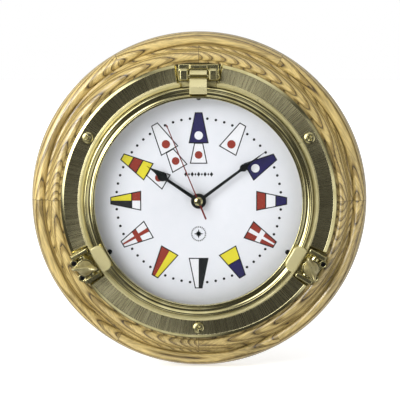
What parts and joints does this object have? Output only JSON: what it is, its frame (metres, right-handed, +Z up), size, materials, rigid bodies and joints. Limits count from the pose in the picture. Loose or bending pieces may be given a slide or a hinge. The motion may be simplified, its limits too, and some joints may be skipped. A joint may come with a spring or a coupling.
{
  "type": "porthole clock",
  "caption": "Wall clock in a hinged brass porthole with wing-nut dogs on a turned oak base, with pennant hour marks on a white dial.",
  "frame": {"origin": "on the dial axis, in the plane of the oak back ring that lies against the wall", "axes": "+Z up, -Y out of the dial towards the viewer, +X to the right as seen from the front"},
  "size_m": [0.305, 0.065, 0.305],
  "materials": {
    "oak": "glossy varnished golden oak",
    "brass": "polished and radially brushed yellow brass",
    "steel": "zinc-plated steel",
    "dark_steel": "blackened steel",
    "glass": "clear flat glass",
    "rubber": "black rubber",
    "dial_enamel": "satin white printed dial",
    "hand_enamel": "black satin enamel",
    "red_enamel": "dark red enamel",
    "black_plastic": "black moulded plastic",
    "white_plastic": "white moulded plastic",
    "copper_wire": "lacquered copper winding",
    "board": "green laminate",
    "battery_wrap": "dark plastic wrap"
  },
  "bodies": {
    "base": {"oak_back_ring": "oak", "oak_front_ring": "oak", "flange": "brass", "flange_screw_1": "brass", "flange_screw_2": "brass", "flange_screw_3": "brass", "hinge_bracket": "brass", "hinge_pin": "brass", "dog_bracket_left": "brass", "dog_bracket_right": "brass", "dog_bracket_screw_left_1": "brass", "dog_bracket_screw_left_2": "brass", "dog_bracket_screw_right_1": "brass", "dog_bracket_screw_right_2": "brass", "dog_pivot_pin_left": "brass", "dog_pivot_pin_right": "brass", "centre_bush": "brass", "mounting_nut": "brass", "hanger_plate": "steel", "hanger_screw_left": "steel", "hanger_screw_right": "steel", "stator": "steel", "battery_contact_positive": "steel", "battery_contact_negative": "steel", "dial_screw_1": "dark_steel", "dial_screw_2": "dark_steel", "dial_screw_3": "dark_steel", "closing_gasket": "rubber", "dial_plate": "dial_enamel", "movement_front_case": "black_plastic", "movement_back_case": "black_plastic", "coil": "copper_wire", "circuit_board": "board", "battery": "battery_wrap"},
    "bezel": {"bezel_ring": "brass", "hinge_tongue": "brass", "dog_lug_left": "brass", "dog_lug_right": "brass", "glass": "glass", "glass_gasket": "rubber", "glass_retaining_ring": "brass"},
    "left_dog": {"swing_bolt_left": "brass"},
    "left_dog_washer": {"dog_washer_left": "brass"},
    "left_wing_nut": {"wing_nut_left": "brass"},
    "right_dog": {"swing_bolt_right": "brass"},
    "right_dog_washer": {"dog_washer_right": "brass"},
    "right_wing_nut": {"wing_nut_right": "brass"},
    "hour_hand": {"hour_hand": "hand_enamel", "hour_wheel": "white_plastic"},
    "minute_hand": {"minute_hand": "hand_enamel", "minute_arbor": "white_plastic"},
    "second_hand": {"second_hand": "red_enamel", "seconds_cap": "brass", "seconds_wheel": "brass"},
    "rotor": {"rotor": "dark_steel"},
    "intermediate_wheel": {"intermediate_wheel": "white_plastic"},
    "set_knob": {"set_knob": "white_plastic", "minute_wheel": "white_plastic"}
  },
  "joints": [
    {"name": "bezel_hinge", "type": "hinge", "parent": "base", "child": "bezel", "pos_m": [0, -0.039, 0.112], "axis": [-1, 0, 0], "range_deg": [0, 100]},
    {"name": "left_dog_swing", "type": "hinge", "parent": "base", "child": "left_dog", "pos_m": [-0.10063, -0.0384, -0.0581], "axis": [0.5, 0, -0.866], "range_deg": [-22, 80]},
    {"name": "left_washer_travel", "type": "slide", "parent": "left_dog", "child": "left_dog_washer", "axis": [0, -1, 0], "range_m": [0, 0.004]},
    {"name": "left_nut_turn", "type": "hinge", "parent": "left_dog_washer", "child": "left_wing_nut", "pos_m": [-0.10063, -0.058, -0.0581], "axis": [0, -1, 0], "range_deg": [0, 1441]},
    {"name": "right_dog_swing", "type": "hinge", "parent": "base", "child": "right_dog", "pos_m": [0.10063, -0.0384, -0.0581], "axis": [0.5, 0, 0.866], "range_deg": [-22, 80]},
    {"name": "right_washer_travel", "type": "slide", "parent": "right_dog", "child": "right_dog_washer", "axis": [0, -1, 0], "range_m": [0, 0.004]},
    {"name": "right_nut_turn", "type": "hinge", "parent": "right_dog_washer", "child": "right_wing_nut", "pos_m": [0.10063, -0.058, -0.0581], "axis": [0, -1, 0], "range_deg": [0, 1441]},
    {"name": "minute_hand_turn", "type": "hinge", "parent": "base", "child": "minute_hand", "pos_m": [0, -0.02, 0], "axis": [0, 1, 0], "continuous": true},
    {"name": "hour_hand_turn", "type": "hinge", "parent": "base", "child": "hour_hand", "pos_m": [0, -0.02, 0], "axis": [0, 1, 0], "continuous": true},
    {"name": "set_knob_turn", "type": "hinge", "parent": "base", "child": "set_knob", "pos_m": [0.0132, -0.02, 0.003], "axis": [0, 1, 0], "continuous": true},
    {"name": "second_hand_turn", "type": "hinge", "parent": "base", "child": "second_hand", "pos_m": [0, -0.02, 0], "axis": [0, 1, 0], "continuous": true},
    {"name": "intermediate_wheel_turn", "type": "hinge", "parent": "base", "child": "intermediate_wheel", "pos_m": [-0.009, -0.02, 0.004], "axis": [0, 1, 0], "continuous": true},
    {"name": "rotor_turn", "type": "hinge", "parent": "base", "child": "rotor", "pos_m": [-0.014, -0.02, 0.012], "axis": [0, 1, 0], "continuous": true}
  ],
  "couplings": [
    {"joint": "left_nut_turn", "follows": "left_washer_travel", "rad_per_m": 6283.2},
    {"joint": "right_nut_turn", "follows": "right_washer_travel", "rad_per_m": 6283.2},
    {"joint": "hour_hand_turn", "follows": "minute_hand_turn", "ratio": 0.083333},
    {"joint": "set_knob_turn", "follows": "minute_hand_turn", "ratio": -0.33333},
    {"joint": "intermediate_wheel_turn", "follows": "second_hand_turn", "ratio": -6},
    {"joint": "rotor_turn", "follows": "second_hand_turn", "ratio": 30}
  ]
}
